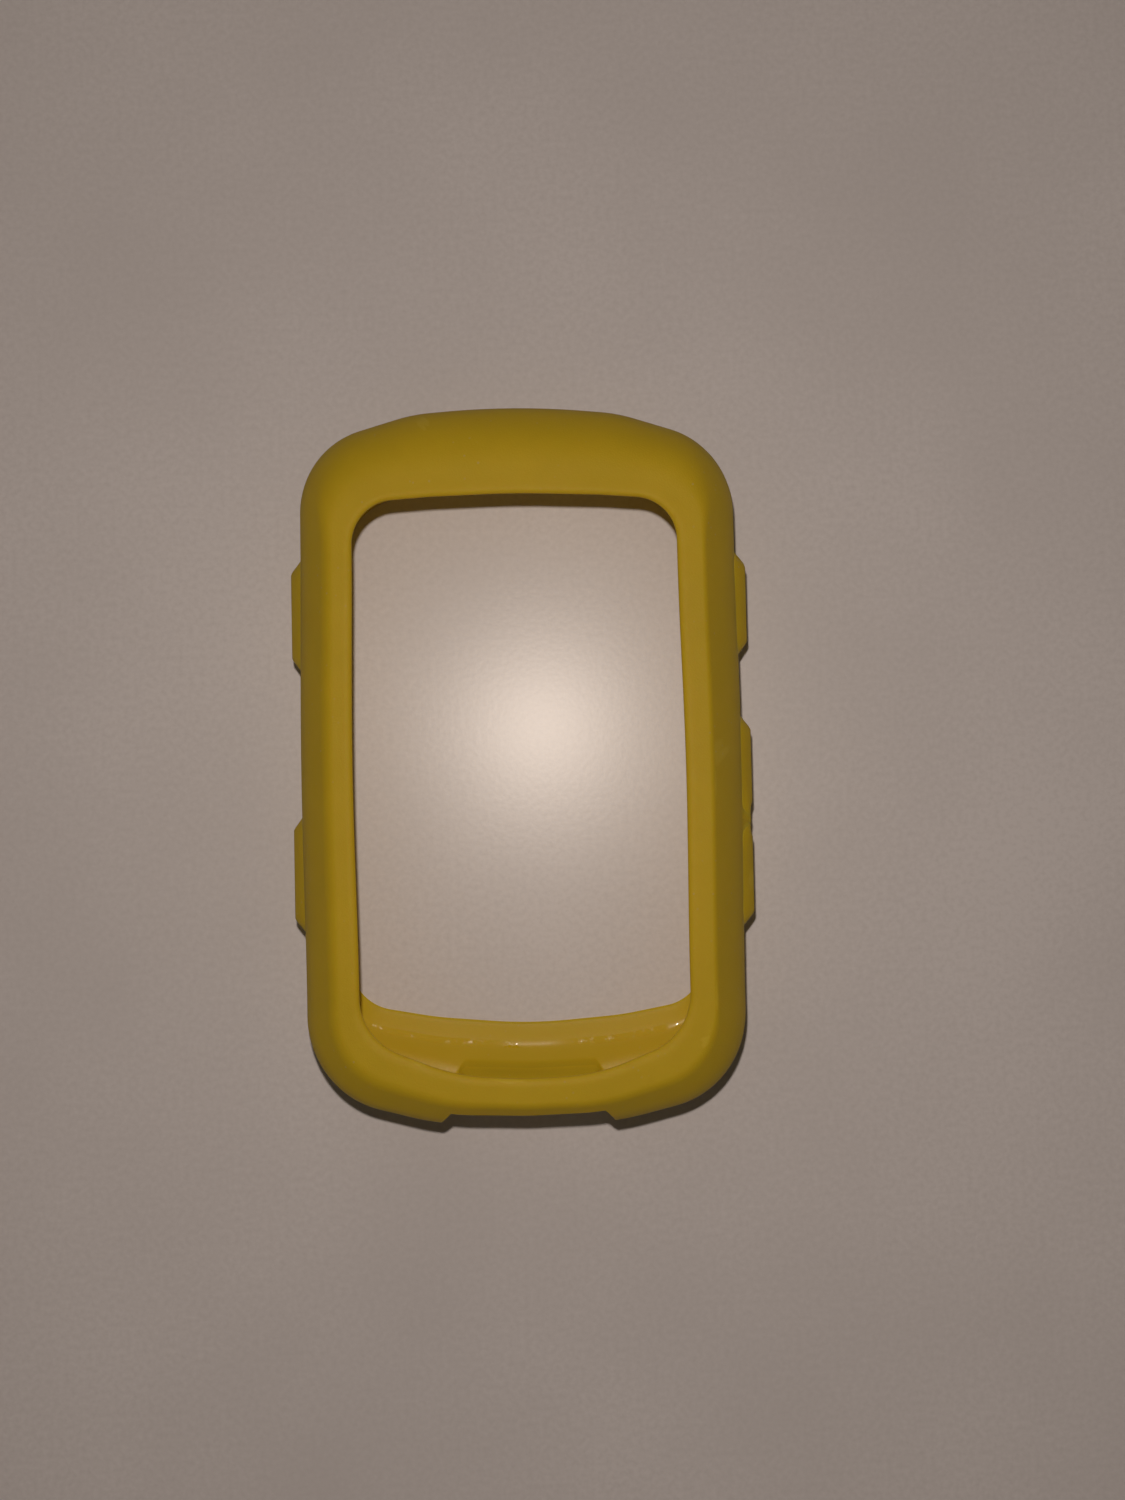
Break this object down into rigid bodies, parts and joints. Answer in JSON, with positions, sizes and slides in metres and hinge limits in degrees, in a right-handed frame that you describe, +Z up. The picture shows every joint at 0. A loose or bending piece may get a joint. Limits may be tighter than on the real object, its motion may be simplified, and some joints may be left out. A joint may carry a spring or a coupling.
{
  "type": "protective sleeve for a portable satellite navigator",
  "caption": "Open silicone sleeve that a handlebar satellite navigator is pushed into, with a screen window, sprung side button covers and an end cut-out.",
  "frame": {"origin": "centre of the sleeve's plan box, on the flat underside of the lower flange", "axes": "+X across the sleeve to the side with three button covers, +Y along it away from the end cut-out, +Z up out of the rim with the smaller window"},
  "size_m": [0.0557, 0.0855, 0.018],
  "materials": {
    "silicone_shell": "yellow moulded silicone, matte outside and glossy inside",
    "silicone_web": "thin yellow moulded silicone, matte outside",
    "silicone_cover": "yellow moulded silicone, matte outside, a little smoother on the crown"
  },
  "bodies": {
    "root": {"sleeve_shell": "silicone_shell", "button_web_left_upper": "silicone_web", "button_web_left_lower": "silicone_web", "button_web_right_upper": "silicone_web", "button_web_right_middle": "silicone_web", "button_web_right_lower": "silicone_web"},
    "left_upper_button": {"button_cover_left_upper": "silicone_cover"},
    "left_lower_button": {"button_cover_left_lower": "silicone_cover"},
    "right_upper_button": {"button_cover_right_upper": "silicone_cover"},
    "right_middle_button": {"button_cover_right_middle": "silicone_cover"},
    "right_lower_button": {"button_cover_right_lower": "silicone_cover"}
  },
  "joints": [
    {"name": "left_upper_press", "type": "slide", "parent": "root", "child": "left_upper_button", "axis": [1, 0, 0], "range_m": [0, 0.0006], "stiffness_N_per_m": 500, "deforming": ["button_web_left_upper"]},
    {"name": "left_lower_press", "type": "slide", "parent": "root", "child": "left_lower_button", "axis": [1, 0, 0], "range_m": [0, 0.0006], "stiffness_N_per_m": 500, "deforming": ["button_web_left_lower"]},
    {"name": "right_upper_press", "type": "slide", "parent": "root", "child": "right_upper_button", "axis": [-1, 0, 0], "range_m": [0, 0.0006], "stiffness_N_per_m": 500, "deforming": ["button_web_right_upper"]},
    {"name": "right_middle_press", "type": "slide", "parent": "root", "child": "right_middle_button", "axis": [-1, 0, 0], "range_m": [0, 0.0006], "stiffness_N_per_m": 500, "deforming": ["button_web_right_middle"]},
    {"name": "right_lower_press", "type": "slide", "parent": "root", "child": "right_lower_button", "axis": [-1, 0, 0], "range_m": [0, 0.0006], "stiffness_N_per_m": 500, "deforming": ["button_web_right_lower"]}
  ]
}
